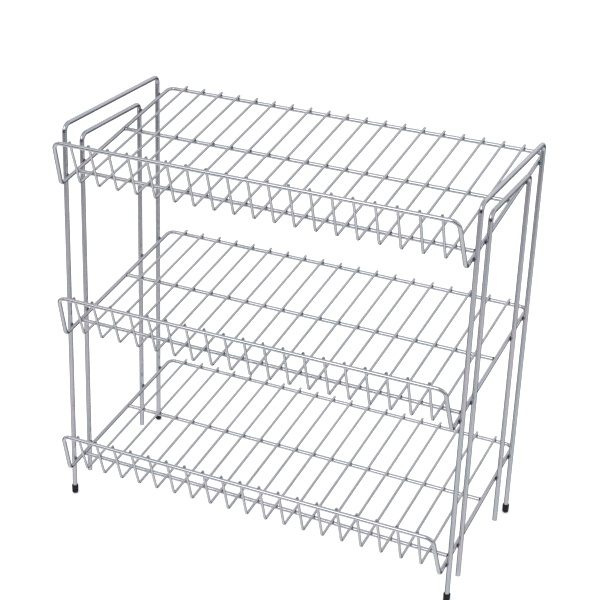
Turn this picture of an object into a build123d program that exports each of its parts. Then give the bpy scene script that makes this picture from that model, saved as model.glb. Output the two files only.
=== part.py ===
from build123d import *
from math import cos, radians, sin
import os

# Three-tier wire shoe rack, chrome-plated steel, all joints welded.
# Frame: origin on the floor under the middle of the rack, +X along the shelves,
# -Y to the front (the raised lips), +Z up. Lengths in millimetres, angles in degrees.

# Overall
overall_width = 618.0           # outer face to outer face of the side frames
overall_height = 603.0          # floor to the top of the outer frames

# Side frames: on each side a tall outer U and a lower inner U, both open downwards
leg_wire_d = 7.0
outer_frame_depth = 264.0       # front leg to rear leg, on centres
inner_front_setback = 44.5      # inner front leg behind the outer one, on centres
inner_rear_setback = 56.0       # inner rear leg ahead of the outer one, on centres
inner_frame_drop = 27.5         # inner top bar below outer top bar
inner_leg_end_height = 17.5     # the inner legs stop short of the floor
frame_bend_radius = 10.5        # on the wire's centre line

# Push-on foot caps under the four outer legs
cap_wall = 1.5                  # at the mouth
cap_height = 14.0
cap_taper = 0.7                 # its toe is this much narrower than its mouth
cap_floor = 2.0                 # rubber under the end of the leg
cap_bore_clearance = 0.1        # on the radius
cap_mouth_fillet = 0.5
cap_toe_fillet = 3.0

# Shelves: a closed loop of wire, two cross rails and a row of slats
bottom_shelf_height = 58.0      # floor to its front bend line
top_shelf_drop = 82.5           # top of the outer frames down to its front bend line
middle_shelf_drop = 3.25        # its front bend line below halfway between the other two
deck_slopes = {"bottom": 7.8, "middle": 8.8, "top": 9.8}  # each deck rises to the rear
shelf_wire_d = 6.0
shelf_front_overhang = 22.5     # front bend line ahead of the outer front legs
shelf_rear_overhang = 31.5      # rear rail behind the outer rear legs, along the slope
front_rail_distance = 41.0      # front bend line to front rail, along the slope
mid_rail_distance = 176.0       # front bend line to mid rail, along the slope
lip_lean = 25.0                 # top of the lip ahead of the front bend line
lip_rise = 70.0                 # top of the lip above the front bend line
lip_inset = 5.5                 # each lip side leans in by this much at the top
lip_corner_radius = 12.0
front_bend_radius = 8.0
rear_corner_radius = 10.0

# Slats
slat_wire_d = 3.8
slat_count = 19
slat_row_margin = 28.95         # side wire to the first slat, on centres
slat_bend_radius = 4.5
slat_rear_stub = 2.0            # past the back of the rear rail
slat_tip_drop = 1.0             # its tip below the top of the lip rail, along the lip

# Neighbouring wires stand this far apart where their weld nuggets join them
weld_gap = 0.05

# Worked out from the sizes above
halfway_height = (bottom_shelf_height + overall_height - top_shelf_drop) / 2
bend_line_heights = {
    "bottom": bottom_shelf_height,
    "middle": halfway_height - middle_shelf_drop,
    "top": overall_height - top_shelf_drop,
}
inner_frame_depth = outer_frame_depth - inner_front_setback - inner_rear_setback
deck_depth = shelf_front_overhang + outer_frame_depth + shelf_rear_overhang
cap_mouth_d = leg_wire_d + 2 * (cap_bore_clearance + cap_wall)
cap_toe_d = cap_mouth_d - cap_taper
leg_r = leg_wire_d / 2
shelf_r = shelf_wire_d / 2
slat_r = slat_wire_d / 2
frame_x = overall_width / 2 - leg_r
shelf_x = frame_x - leg_r - weld_gap - shelf_r
slat_pitch = 2 * (shelf_x - slat_row_margin) / (slat_count - 1)
slat_tail = shelf_r + slat_rear_stub
slat_lift = shelf_r + weld_gap + slat_r
flattest = radians(min(deck_slopes.values()))
slat_end_y = (deck_depth + slat_tail) * cos(flattest) - (slat_lift - slat_r) * sin(flattest)
rack_front_y = -shelf_front_overhang - lip_lean - shelf_r
rack_back_y = max(slat_end_y - shelf_front_overhang, outer_frame_depth + cap_mouth_d / 2)
front_leg_y = -(rack_front_y + rack_back_y) / 2


def bent_wire(points, radii, diameter, closed=False):
    """One round wire along straight runs joined by tangent arcs."""
    line = FilletPolyline(*points, radius=radii, close=closed)
    start = line @ 0
    ahead = line % 0
    section = Plane(origin=start, z_dir=ahead) * Circle(diameter / 2)
    return sweep(section, path=line)


def straight_wire(start, end, diameter):
    """One round wire cut square at both ends."""
    axis = Vector(*end) - Vector(*start)
    section = Plane(origin=start, z_dir=axis) * Circle(diameter / 2)
    return extrude(section, amount=axis.length)


def side_frame(x, front_y, depth, leg_end_z, bar_z):
    """A U of leg wire standing on its two legs in the plane X = x."""
    rear_y = front_y + depth
    points = [(x, front_y, leg_end_z), (x, front_y, bar_z), (x, rear_y, bar_z), (x, rear_y, leg_end_z)]
    return bent_wire(points, frame_bend_radius, leg_wire_d)


def foot_cap(x, y):
    """A blind rubber ferrule pushed over the end of a leg, tapering to a rounded toe."""
    cup = Cone(cap_toe_d / 2, cap_mouth_d / 2, cap_height, align=(Align.CENTER, Align.CENTER, Align.MIN))
    cup = fillet(cup.edges().sort_by(Axis.Z)[0], cap_toe_fillet)
    bore_depth = cap_height - cap_floor
    bore = Cylinder(leg_r + cap_bore_clearance, bore_depth, align=(Align.CENTER, Align.CENTER, Align.MIN))
    cup -= Pos(0, 0, cap_floor) * bore
    rim = cup.edges().group_by(Axis.Z)[-1].sort_by(SortBy.RADIUS)[-1]
    cup = fillet(rim, cap_mouth_fillet)
    return Pos(x, y, 0) * cup


class Shelf:
    """The directions and places that the wires of one shelf share."""

    def __init__(self, bend_line_height, slope):
        self.corner = Vector(0, front_leg_y - shelf_front_overhang, bend_line_height)
        self.back = Vector(0, cos(radians(slope)), sin(radians(slope)))
        self.up_lip = Vector(0, -lip_lean, lip_rise).normalized()
        self.lip_length = Vector(0, -lip_lean, lip_rise).length

    def on_deck(self, x, distance):
        """A point in the loop's deck plane, so far behind the front bend line."""
        return self.corner + self.back * distance + Vector(x, 0, 0)

    def on_lip(self, x, distance):
        """A point in the loop's lip plane, so far above the front bend line."""
        return self.corner + self.up_lip * distance + Vector(x, 0, 0)

    def frame(self):
        """The closed loop: rear rail, side wires, lip sides and lip rail in one wire."""
        x = shelf_x
        lip_x = shelf_x - lip_inset
        rear_corners = [self.on_deck(-x, deck_depth), self.on_deck(x, deck_depth)]
        lip_corners = [self.on_lip(lip_x, self.lip_length), self.on_lip(-lip_x, self.lip_length)]
        points = [*rear_corners, self.on_deck(x, 0), *lip_corners, self.on_deck(-x, 0)]
        radii = [rear_corner_radius] * 2 + [front_bend_radius] + [lip_corner_radius] * 2 + [front_bend_radius]
        return bent_wire(points, radii, shelf_wire_d, closed=True)

    def cross_rail(self, distance):
        """A straight rail butted between the side wires, in the deck plane."""
        reach = shelf_x - shelf_r - weld_gap
        return straight_wire(self.on_deck(-reach, distance), self.on_deck(reach, distance), shelf_wire_d)

    def slat(self, x):
        """One slat, lying on the rails and turned up inside the lip."""
        turn = radians(self.back.get_angle(self.up_lip))
        inside = self.corner + (self.back + self.up_lip) * (slat_lift / sin(turn)) + Vector(x, 0, 0)
        corner_shift = slat_lift * cos(turn / 2) / sin(turn / 2)
        tail = inside + self.back * (deck_depth - corner_shift + slat_tail)
        tip = inside + self.up_lip * (self.lip_length - corner_shift + shelf_r - slat_tip_drop)
        return bent_wire([tail, inside, tip], slat_bend_radius, slat_wire_d)

    def slats(self):
        """The whole row, each slat a solid of its own."""
        first = -slat_pitch * (slat_count - 1) / 2
        return [self.slat(first + slat_pitch * i) for i in range(slat_count)]


def write(name, shape):
    """Write one sub-part to its own file, named for the node."""
    export_step(shape, f"parts/{name}.step")


def make_side_frames():
    bar_z = overall_height - leg_r
    for side, x in (("left", -frame_x), ("right", frame_x)):
        outer = side_frame(x, front_leg_y, outer_frame_depth, cap_floor, bar_z)
        inner_front = front_leg_y + inner_front_setback
        inner_bar_z = bar_z - inner_frame_drop
        inner = side_frame(x, inner_front, inner_frame_depth, inner_leg_end_height, inner_bar_z)
        write(f"{side}_outer_frame", outer)
        write(f"{side}_inner_frame", inner)
        write(f"front_{side}_foot_cap", foot_cap(x, front_leg_y))
        write(f"rear_{side}_foot_cap", foot_cap(x, front_leg_y + outer_frame_depth))


def make_shelves():
    for level, height in bend_line_heights.items():
        shelf = Shelf(height, deck_slopes[level])
        write(f"{level}_shelf_frame", shelf.frame())
        write(f"{level}_shelf_front_rail", shelf.cross_rail(front_rail_distance))
        write(f"{level}_shelf_mid_rail", shelf.cross_rail(mid_rail_distance))
        write(f"{level}_shelf_slats", Compound(children=shelf.slats()))


os.makedirs("parts", exist_ok=True)
make_side_frames()
make_shelves()
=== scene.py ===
import math

import bmesh
import bpy
from mathutils import Matrix, Vector


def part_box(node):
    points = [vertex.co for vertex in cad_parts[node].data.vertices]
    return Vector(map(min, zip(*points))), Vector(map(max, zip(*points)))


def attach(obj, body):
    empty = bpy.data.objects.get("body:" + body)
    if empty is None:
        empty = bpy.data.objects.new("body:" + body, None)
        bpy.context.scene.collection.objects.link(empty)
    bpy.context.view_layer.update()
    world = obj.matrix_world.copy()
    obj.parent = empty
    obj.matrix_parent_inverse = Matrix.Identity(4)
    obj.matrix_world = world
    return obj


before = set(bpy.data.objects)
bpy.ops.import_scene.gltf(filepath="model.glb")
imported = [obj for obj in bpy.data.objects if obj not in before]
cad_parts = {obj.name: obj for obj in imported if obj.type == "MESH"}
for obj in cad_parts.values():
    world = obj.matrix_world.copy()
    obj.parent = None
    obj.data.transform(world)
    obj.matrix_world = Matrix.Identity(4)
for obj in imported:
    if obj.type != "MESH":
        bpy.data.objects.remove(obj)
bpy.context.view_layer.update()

mm = 0.001

# ---------------------------------------------------------------------------------------
# The camera stands in front of the rack and off its right end, about 1.3 m up, and
# looks down on it. It is tipped very slightly, and its lens is a short telephoto.

frame_low, frame_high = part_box("left_outer_frame")
leg_d = frame_high.x - frame_low.x
front_leg_y = frame_low.y + leg_d / 2

azimuth = math.radians(25.65)
elevation = math.radians(25.48)
roll = math.radians(1.40)
camera_aside = 855 * mm
camera_ahead = 1796 * mm
camera_height = 1328 * mm

lens = bpy.data.cameras.new("camera")
lens.sensor_width = 36.0
lens.lens = 95.9
lens.shift_x = 0.079
lens.shift_y = 0.0207
camera = bpy.data.objects.new("camera", lens)
bpy.context.scene.collection.objects.link(camera)
back = Vector((
    math.sin(azimuth) * math.cos(elevation),
    -math.cos(azimuth) * math.cos(elevation),
    math.sin(elevation),
))
across = Vector((math.cos(azimuth), math.sin(azimuth), 0))
above = back.cross(across)
right = across * math.cos(roll) + above * math.sin(roll)
up = above * math.cos(roll) - across * math.sin(roll)
place = Vector((camera_aside, front_leg_y - camera_ahead, camera_height))
facing = Matrix((right, up, back)).transposed()
camera.matrix_world = Matrix.Translation(place) @ facing.to_4x4()
bpy.context.scene.camera = camera
bpy.context.scene.view_settings.view_transform = "Standard"

# ---------------------------------------------------------------------------------------
# The studio: white sweep paper in a pale room, with a large softbox at the front left, a
# soft lamp overhead and a dark band along the horizon in front. Polished plate shows only
# what stands round it, so the room is shaded by direction, below the horizon as well.

paper_half_width = 12.0

floor_mesh = bpy.data.meshes.new("floor")
shape = bmesh.new()
bmesh.ops.create_grid(shape, x_segments=1, y_segments=1, size=paper_half_width)
shape.to_mesh(floor_mesh)
shape.free()
floor = bpy.data.objects.new("floor", floor_mesh)
bpy.context.scene.collection.objects.link(floor)
floor.visible_glossy = False


def from_hex(code):
    """An sRGB hex colour as linear RGBA."""
    parts = [int(code[i:i + 2], 16) / 255 for i in (0, 2, 4)]
    linear = [c / 12.92 if c <= 0.04045 else ((c + 0.055) / 1.055) ** 2.4 for c in parts]
    return (*linear, 1.0)


def add_node(tree, kind, settings=None, links=None):
    """Add one node: settings go to its properties or its input sockets, links to its inputs."""
    node = tree.nodes.new(kind)
    for name, value in (settings or {}).items():
        if isinstance(name, str) and hasattr(node, name):
            setattr(node, name, value)
        else:
            node.inputs[name].default_value = value
    for name, output in (links or {}).items():
        tree.links.new(output, node.inputs[name])
    return node


# Matt sweep paper. It glows a little, for the light that a white room bounces back to it,
# so that it shows white with hardly a shadow.
paper = bpy.data.materials.new("matt_sweep_paper")
paper.use_nodes = True
paper_shader = paper.node_tree.nodes["Principled BSDF"]
paper_white = from_hex("f4f4f5")
paper_shader.inputs["Base Color"].default_value = paper_white
paper_shader.inputs["Roughness"].default_value = 0.9
paper_shader.inputs["Emission Color"].default_value = paper_white
paper_shader.inputs["Emission Strength"].default_value = 0.42
floor_mesh.materials.append(paper)

room = bpy.data.worlds.new("pale_studio_room")
room.use_nodes = True
bpy.context.scene.world = room
room_tree = room.node_tree
ray = add_node(room_tree, "ShaderNodeTexCoord").outputs["Generated"]
ray_parts = add_node(room_tree, "ShaderNodeSeparateXYZ", links={0: ray})
ray_rise = add_node(
    room_tree, "ShaderNodeMapRange",
    {"From Min": -1.0, "From Max": 1.0},
    {"Value": ray_parts.outputs["Z"]},
)

# Brightness by height, in degrees above the horizon, for the front and the rest of the room.
front_shades = (
    (-90, 0.98), (-50, 0.98), (-33, 0.96), (-26, 0.90), (-22, 0.64), (-18, 0.20), (-10, 0.03),
    (2, 0.02), (10, 0.07), (15, 0.72), (22, 0.85), (30, 0.74), (38, 0.64), (55, 0.62), (90, 0.70),
)
rear_shades = (
    (-90, 0.98), (-50, 0.98), (-33, 0.94), (-24, 0.88), (-12, 0.62), (0, 0.50), (10, 0.66),
    (18, 1.00), (28, 0.98), (40, 0.82), (55, 0.68), (90, 0.70),
)
coolness = 1.03  # blue over red, as in shaded daylight


def wall_light(shades):
    """The room's light by height, as the colour output of a ramp."""
    wall = add_node(room_tree, "ShaderNodeValToRGB", links={"Fac": ray_rise.outputs[0]})
    stops = wall.color_ramp.elements
    stops.remove(stops[1])
    for degrees, value in shades:
        rise = (math.sin(math.radians(degrees)) + 1) / 2
        stop = stops[0] if rise == 0 else stops.new(rise)
        stop.color = (value, value, value * coolness, 1)
    return wall.outputs["Color"]


room_light = wall_light(rear_shades)

# Each patch's turn from straight ahead of the rack, height, inner and outer half angle (all
# in degrees) and light: the front of the room, the softbox, and two dark doorways that give
# the legs their edge lines.
patches = (
    (5, 0, 42, 70, wall_light(front_shades)),
    (-16, 34, 10, 21, 3.4),
    (150, -31, 17, 28, 0.03),
    (-99, -31, 17, 28, 0.03),
)
for turn, height, inner, outer, shade in patches:
    turn, height = math.radians(turn), math.radians(height)
    level_part = math.cos(height)
    aim = (math.sin(turn) * level_part, -math.cos(turn) * level_part, math.sin(height))
    nearness = add_node(
        room_tree, "ShaderNodeVectorMath", {"operation": "DOT_PRODUCT", 1: aim}, {0: ray},
    )
    inside = add_node(
        room_tree, "ShaderNodeMapRange",
        {
            "interpolation_type": "SMOOTHSTEP",
            "From Min": math.cos(math.radians(outer)),
            "From Max": math.cos(math.radians(inner)),
        },
        {"Value": nearness.outputs["Value"]},
    )
    patch = add_node(
        room_tree, "ShaderNodeMix", {"data_type": "RGBA"}, {0: inside.outputs[0], 6: room_light},
    )
    if isinstance(shade, float):
        patch.inputs[7].default_value = (shade, shade, shade, 1)
    else:
        room_tree.links.new(shade, patch.inputs[7])
    room_light = patch.outputs[2]

# Seen directly, past the edge of the paper, the room is plain and pale.
seen = add_node(room_tree, "ShaderNodeLightPath").outputs["Is Camera Ray"]
backdrop = add_node(
    room_tree, "ShaderNodeMix",
    {"data_type": "RGBA", 7: from_hex("fbfbfb")},
    {0: seen, 6: room_light},
)
room_tree.links.new(backdrop.outputs[2], room_tree.nodes["Background"].inputs["Color"])

lamp = bpy.data.lights.new("overhead_lamp", "AREA")
lamp.shape = "RECTANGLE"
lamp.size = 1.4
lamp.size_y = 1.4
lamp.energy = 14
overhead = bpy.data.objects.new("overhead_lamp", lamp)
overhead.location = (-0.3, 0.1, 2.6)
overhead.visible_glossy = False
bpy.context.scene.collection.objects.link(overhead)

# ---------------------------------------------------------------------------------------
# The side frames: on each side a tall U and a shorter U inside it, bent cold from drawn
# steel wire. The whole rack was welded up bare, polished, and then nickel-chrome plated.


def chrome_plate(name, tint, cloud, roughness, marks):
    """Chrome plate over drawn wire; marks is the drawing marks' size along X, Y and Z in mm."""
    cloud_size = 70 * mm
    pit_spacing = 5 * mm
    haze_size = 6 * mm
    mark_depth = 0.012 * mm
    peel_length = 2.2 * mm
    peel_depth = 0.03 * mm
    plate = bpy.data.materials.new(name)
    plate.use_nodes = True
    tree = plate.node_tree
    shader = tree.nodes["Principled BSDF"]
    shader.inputs["Metallic"].default_value = 1.0
    place = add_node(tree, "ShaderNodeTexCoord").outputs["Object"]
    # The plate's thickness drifts along the wire, which clouds it from warm to cool grey.
    drift = add_node(
        tree, "ShaderNodeTexNoise", {"Scale": 1 / cloud_size, "Detail": 2.0}, {"Vector": place},
    )
    tone = add_node(
        tree, "ShaderNodeMapRange",
        {"From Min": 0.35, "From Max": 0.65},
        {"Value": drift.outputs["Fac"]},
    )
    # Pits and dust under the plate: grey specks a little over half a millimetre wide.
    pits = add_node(tree, "ShaderNodeTexVoronoi", {"Scale": 1 / pit_spacing}, {"Vector": place})
    speck = add_node(
        tree, "ShaderNodeMapRange",
        {"From Min": 0.05, "From Max": 0.09, "To Min": 0.55, "To Max": 0.0},
        {"Value": pits.outputs["Distance"]},
    )
    clouds = add_node(
        tree, "ShaderNodeMix",
        {"data_type": "RGBA", 6: from_hex(cloud), 7: from_hex(tint)},
        {0: tone.outputs[0]},
    )
    colour = add_node(
        tree, "ShaderNodeMix",
        {"data_type": "RGBA", 7: from_hex("6e6e74")},
        {0: speck.outputs[0], 6: clouds.outputs[2]},
    )
    tree.links.new(colour.outputs[2], shader.inputs["Base Color"])
    # Handling leaves patches of haze.
    haze = add_node(
        tree, "ShaderNodeTexNoise", {"Scale": 1 / haze_size, "Detail": 3.0}, {"Vector": place},
    )
    gloss = add_node(
        tree, "ShaderNodeMapRange",
        {"From Min": 0.35, "From Max": 0.7, "To Min": roughness * 0.75, "To Max": roughness * 1.4},
        {"Value": haze.outputs["Fac"]},
    )
    tree.links.new(gloss.outputs[0], shader.inputs["Roughness"])
    # The die's drawing marks run along the wire and still show through the plate, under
    # its orange peel.
    stretch = add_node(
        tree, "ShaderNodeMapping",
        {"Scale": [1 / (size * mm) for size in marks]},
        {"Vector": place},
    )
    lines = add_node(
        tree, "ShaderNodeTexNoise", {"Scale": 1.0, "Detail": 1.0}, {"Vector": stretch.outputs[0]},
    )
    drawn = add_node(
        tree, "ShaderNodeBump",
        {"Strength": 1.0, "Distance": mark_depth},
        {"Height": lines.outputs["Fac"]},
    )
    waves = add_node(
        tree, "ShaderNodeTexNoise", {"Scale": 1 / peel_length, "Detail": 1.0}, {"Vector": place},
    )
    peel = add_node(
        tree, "ShaderNodeBump",
        {"Strength": 1.0, "Distance": peel_depth},
        {"Height": waves.outputs["Fac"], "Normal": drawn.outputs["Normal"]},
    )
    tree.links.new(peel.outputs["Normal"], shader.inputs["Normal"])
    return plate


def finish_nodes(names, material):
    """Give CAD nodes their material."""
    for name in names:
        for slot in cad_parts[name].material_slots:
            slot.material = material


# Bright chrome on thick wire: mirror-like and faintly violet, streaked along the legs.
frame_chrome = chrome_plate(
    "bright_chrome_on_frame_wire",
    tint="c4bfc6", cloud="b6bec2", roughness=0.13, marks=(0.9, 0.9, 60),
)
side_frames = [f"{side}_{rank}_frame" for side in ("left", "right") for rank in ("outer", "inner")]
finish_nodes(side_frames, frame_chrome)

# ---------------------------------------------------------------------------------------
# The foot caps: blind ferrules of black soft vinyl, dip-moulded, pushed over the four
# outer legs. They keep a dull skin and pick up dust and scuffs round the toe.

toe_low = 0.5 * mm
toe_high = 4 * mm
scuff_length = 1.5 * mm  # a little coarse, so that they show
grain_size = 0.7 * mm
grain_depth = 0.05 * mm

# Plasticised vinyl: nearly black, satin, with a faint grain and a greyer toe.
vinyl = bpy.data.materials.new("dip_moulded_soft_vinyl")
vinyl.use_nodes = True
vinyl_tree = vinyl.node_tree
vinyl_shader = vinyl_tree.nodes["Principled BSDF"]
vinyl_shader.inputs["Specular IOR Level"].default_value = 0.3
vinyl_place = add_node(vinyl_tree, "ShaderNodeTexCoord").outputs["Object"]
vinyl_parts = add_node(vinyl_tree, "ShaderNodeSeparateXYZ", links={0: vinyl_place})
toe = add_node(
    vinyl_tree, "ShaderNodeMapRange",
    {"From Min": toe_low, "From Max": toe_high, "To Min": 1.0, "To Max": 0.0},
    {"Value": vinyl_parts.outputs["Z"]},
)
scuffs = add_node(
    vinyl_tree, "ShaderNodeTexNoise",
    {"Scale": 1 / scuff_length, "Detail": 3.0},
    {"Vector": vinyl_place},
)
dust = add_node(
    vinyl_tree, "ShaderNodeMath",
    {"operation": "MULTIPLY"},
    {0: toe.outputs[0], 1: scuffs.outputs["Fac"]},
)
vinyl_colour = add_node(
    vinyl_tree, "ShaderNodeMix",
    {"data_type": "RGBA", 6: from_hex("0e0e0e"), 7: from_hex("3c3a38")},
    {0: dust.outputs[0]},
)
vinyl_tree.links.new(vinyl_colour.outputs[2], vinyl_shader.inputs["Base Color"])
vinyl_gloss = add_node(
    vinyl_tree, "ShaderNodeMapRange",
    {"To Min": 0.42, "To Max": 0.68},
    {"Value": scuffs.outputs["Fac"]},
)
vinyl_tree.links.new(vinyl_gloss.outputs[0], vinyl_shader.inputs["Roughness"])
grain = add_node(
    vinyl_tree, "ShaderNodeTexNoise",
    {"Scale": 1 / grain_size, "Detail": 2.0},
    {"Vector": vinyl_place},
)
skin = add_node(
    vinyl_tree, "ShaderNodeBump",
    {"Strength": 1.0, "Distance": grain_depth},
    {"Height": grain.outputs["Fac"]},
)
vinyl_tree.links.new(skin.outputs["Normal"], vinyl_shader.inputs["Normal"])
foot_caps = [f"{end}_{side}_foot_cap" for end in ("front", "rear") for side in ("left", "right")]
finish_nodes(foot_caps, vinyl)

# ---------------------------------------------------------------------------------------
# The shelves' loops and rails: one closed loop of wire per shelf, bent up at the front
# into the lip, with two straight rails butted between its side wires, all plated.

# Bright chrome on medium wire: the same plate, with drawing marks along the rails.
shelf_chrome = chrome_plate(
    "bright_chrome_on_shelf_wire",
    tint="c6c3c9", cloud="b9bfc3", roughness=0.12, marks=(60, 0.9, 0.9),
)
levels = ("top", "middle", "bottom")
loops_and_rails = [
    f"{level}_shelf_{part}" for level in levels for part in ("frame", "front_rail", "mid_rail")
]
finish_nodes(loops_and_rails, shelf_chrome)

# ---------------------------------------------------------------------------------------
# The welds of legs to side wires: resistance spot welds, each a nugget squeezed flat
# between the two wires where they cross. Eight to a shelf, plated over with the rest.

leg_weld_size = Vector((1.9, 3.3, 4.1)) * mm  # half sizes
leg_spread = 0.10  # how far a nugget may be from that size, as a share of it
# The size of the patches of painted shade on a weld nugget.
shade_patch_size = 1.6 * mm
weld_pit_size = 0.8 * mm
weld_pit_depth = 0.12 * mm

# Plate over a weld nugget: duller than on the wire and pitted, and painted dark grey to near black
# in patches, as painted shade for the crevice where the wires cross.
weld_plate = bpy.data.materials.new("chrome_over_weld_nugget")
weld_plate.use_nodes = True
weld_tree = weld_plate.node_tree
weld_shader = weld_tree.nodes["Principled BSDF"]
weld_shader.inputs["Metallic"].default_value = 1.0
weld_place = add_node(weld_tree, "ShaderNodeTexCoord").outputs["Object"]
shade_patches = add_node(
    weld_tree, "ShaderNodeTexNoise",
    {"Scale": 1 / shade_patch_size, "Detail": 2.0},
    {"Vector": weld_place},
)
weld_shade_mask = add_node(
    weld_tree, "ShaderNodeMapRange",
    {"From Min": 0.40, "From Max": 0.62},
    {"Value": shade_patches.outputs["Fac"]},
)
# Painted shade: the nugget's colour runs from dark grey to near black, standing in for the shade
# and dark reflections where two wires meet.
weld_shaded_colour = add_node(
    weld_tree, "ShaderNodeMix",
    {"data_type": "RGBA", 6: from_hex("66666c"), 7: from_hex("1e1e20")},
    {0: weld_shade_mask.outputs[0]},
)
weld_tree.links.new(weld_shaded_colour.outputs[2], weld_shader.inputs["Base Color"])
weld_gloss = add_node(
    weld_tree, "ShaderNodeMapRange",
    {"To Min": 0.22, "To Max": 0.5},
    {"Value": shade_patches.outputs["Fac"]},
)
weld_tree.links.new(weld_gloss.outputs[0], weld_shader.inputs["Roughness"])
pitting = add_node(
    weld_tree, "ShaderNodeTexNoise",
    {"Scale": 1 / weld_pit_size, "Detail": 2.0},
    {"Vector": weld_place},
)
weld_relief = add_node(
    weld_tree, "ShaderNodeBump",
    {"Strength": 1.0, "Distance": weld_pit_depth},
    {"Height": pitting.outputs["Fac"]},
)
weld_tree.links.new(weld_relief.outputs["Normal"], weld_shader.inputs["Normal"])

# The tree that sets a nugget on each point of a mesh, turned about X by the point's lean.
nuggets = bpy.data.node_groups.new("weld_nuggets", "GeometryNodeTree")
for name, kind in (
    ("Points", "NodeSocketGeometry"),
    ("Half Size", "NodeSocketVector"),
    ("Spread", "NodeSocketFloat"),
    ("Seed", "NodeSocketInt"),
    ("Finish", "NodeSocketMaterial"),
):
    nuggets.interface.new_socket(name, in_out="INPUT", socket_type=kind)
nuggets.interface.new_socket("Welds", in_out="OUTPUT", socket_type="NodeSocketGeometry")
given = add_node(nuggets, "NodeGroupInput").outputs
ball = add_node(
    nuggets, "GeometryNodeMeshUVSphere", {"Segments": 8, "Rings": 6, "Radius": 1.0},
)
smooth = add_node(
    nuggets, "GeometryNodeSetShadeSmooth", links={"Geometry": ball.outputs["Mesh"]},
)
smallest, largest = (
    add_node(nuggets, "ShaderNodeMath", {"operation": side, 0: 1.0}, {1: given["Spread"]})
    for side in ("SUBTRACT", "ADD")
)
swell = add_node(
    nuggets, "FunctionNodeRandomValue", {"data_type": "FLOAT_VECTOR"},
    {0: smallest.outputs[0], 1: largest.outputs[0], "Seed": given["Seed"]},
)
nugget_size = add_node(
    nuggets, "ShaderNodeVectorMath",
    {"operation": "MULTIPLY"},
    {0: given["Half Size"], 1: swell.outputs[0]},
)
lean = add_node(
    nuggets, "GeometryNodeInputNamedAttribute", {"data_type": "FLOAT", "Name": "lean"},
)
turned = add_node(nuggets, "ShaderNodeCombineXYZ", links={"X": lean.outputs["Attribute"]})
placed = add_node(
    nuggets, "GeometryNodeInstanceOnPoints",
    links={
        "Points": given["Points"], "Instance": smooth.outputs[0],
        "Rotation": turned.outputs[0], "Scale": nugget_size.outputs[0],
    },
)
real = add_node(nuggets, "GeometryNodeRealizeInstances", links={0: placed.outputs[0]})
finished = add_node(
    nuggets, "GeometryNodeSetMaterial", links={0: real.outputs[0], "Material": given["Finish"]},
)
add_node(nuggets, "NodeGroupOutput", links={0: finished.outputs[0]})


def weld_row(name, places, leans, half_size, spread, seed):
    """A piece with one weld nugget at each place, each turned about X by its own lean."""
    points = bpy.data.meshes.new(name)
    points.from_pydata(places, [], [])
    points.attributes.new("lean", "FLOAT", "POINT").data.foreach_set("value", leans)
    piece = bpy.data.objects.new(name, points)
    bpy.context.scene.collection.objects.link(piece)
    modifier = piece.modifiers.new("weld_nuggets", "NODES")
    modifier.node_group = nuggets
    values = {"Half Size": half_size, "Spread": spread, "Seed": seed, "Finish": weld_plate}
    for socket in nuggets.interface.items_tree:
        if socket.name in values:
            modifier[socket.identifier] = values[socket.name]
    grown = piece.evaluated_get(bpy.context.evaluated_depsgraph_get())
    piece.data = bpy.data.meshes.new_from_object(grown)
    piece.modifiers.clear()
    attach(piece, "root")


def shelf_rails(level):
    """The middles of a shelf's front and mid rails."""
    middles = []
    for rail in ("front_rail", "mid_rail"):
        low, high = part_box(f"{level}_shelf_{rail}")
        middles.append((low + high) / 2)
    return middles


def deck_slope(level):
    """How far a shelf's deck is turned about X, in radians."""
    front, mid = shelf_rails(level)
    return math.atan2(mid.z - front.z, mid.y - front.y)


def deck_height(level, y):
    """The height at y of the plane that holds a deck's rails and side wires."""
    mid = shelf_rails(level)[1]
    return mid.z + (y - mid.y) * math.tan(deck_slope(level))


leg_lines = []
for rank in ("outer", "inner"):
    low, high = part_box(f"right_{rank}_frame")
    leg_lines += [low.y + leg_d / 2, high.y - leg_d / 2]
for seed, level in enumerate(levels):
    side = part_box(f"{level}_shelf_frame")[1].x
    places = [(x, y, deck_height(level, y)) for x in (-side, side) for y in leg_lines]
    leans = [deck_slope(level)] * len(places)
    weld_row(f"{level}_leg_welds", places, leans, leg_weld_size, leg_spread, seed)

# ---------------------------------------------------------------------------------------
# The welds at the rail ends: each rail is butted to the side wires under pressure, and
# the hot metal squeezes out in a low collar round its end.

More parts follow.
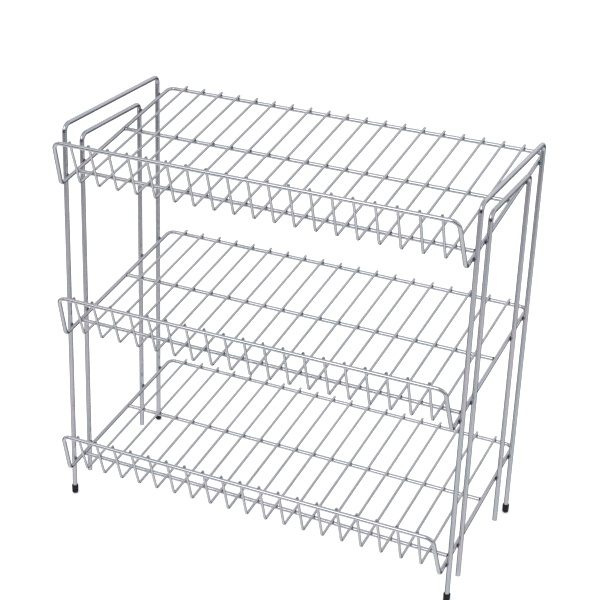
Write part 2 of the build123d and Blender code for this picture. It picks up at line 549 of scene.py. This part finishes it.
collar_size = Vector((1.5, 3.45, 3.45)) * mm
end_spread = 0.05
collar_setback = 0.2 * mm
for seed, level in enumerate(levels, start=10):
    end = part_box(f"{level}_shelf_mid_rail")[1].x - collar_setback
    places = [(x, rail.y, rail.z) for x in (-end, end) for rail in shelf_rails(level)]
    leans = [deck_slope(level)] * len(places)
    weld_row(f"{level}_rail_end_welds", places, leans, collar_size, end_spread, seed)

# ---------------------------------------------------------------------------------------
# The slats: nineteen thin wires to a shelf, each cut to length, bent up once at the front
# and laid over the rails, so that they stop a shoe's toe behind the lip.

# Bright chrome on thin wire: a touch hazier, with drawing marks from front to rear.
slat_chrome = chrome_plate(
    "bright_chrome_on_slat_wire",
    tint="c8c6ca", cloud="bbc1c4", roughness=0.14, marks=(0.7, 50, 0.7),
)
finish_nodes([f"{level}_shelf_slats" for level in levels], slat_chrome)

# ---------------------------------------------------------------------------------------
# The welds of slats to rails: one small flat nugget under each slat at every rail that it
# crosses, and one behind the lip rail, made in a row by a gang of electrodes.

slat_count = 19
slat_d = 3.8 * mm
slat_weld_size = Vector((2.7, 2.5, 1.3)) * mm
slat_spread = 0.12
lip_lean = 25 * mm
lip_rise = 70 * mm
lip_turn = math.atan2(lip_lean, lip_rise) - math.pi / 2
rail_low, rail_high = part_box("top_shelf_mid_rail")
shelf_r = (rail_high.z - rail_low.z) / 2


def loop_rails(level):
    """The centres of a shelf's rear rail and lip rail in the plane X = 0."""
    low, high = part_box(f"{level}_shelf_frame")
    rear_y = high.y - shelf_r
    rear = Vector((0, rear_y, deck_height(level, rear_y)))
    lip = Vector((0, low.y + shelf_r, high.z - shelf_r))
    return rear, lip


for seed, level in enumerate(levels, start=20):
    slope = deck_slope(level)
    front, mid = shelf_rails(level)
    rear, lip = loop_rails(level)
    low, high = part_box(f"{level}_shelf_slats")
    first = low.x + slat_d / 2
    pitch = (high.x - low.x - slat_d) / (slat_count - 1)
    places, leans = [], []
    for rail, turn in ((front, slope), (mid, slope), (rear, slope), (lip, lip_turn)):
        toward_slat = Vector((0, -math.sin(turn), math.cos(turn)))
        for i in range(slat_count):
            along = Vector((first + pitch * i, 0, 0))
            places.append(rail + toward_slat * shelf_r + along)
            leans.append(turn)
    weld_row(f"{level}_slat_welds", places, leans, slat_weld_size, slat_spread, seed)
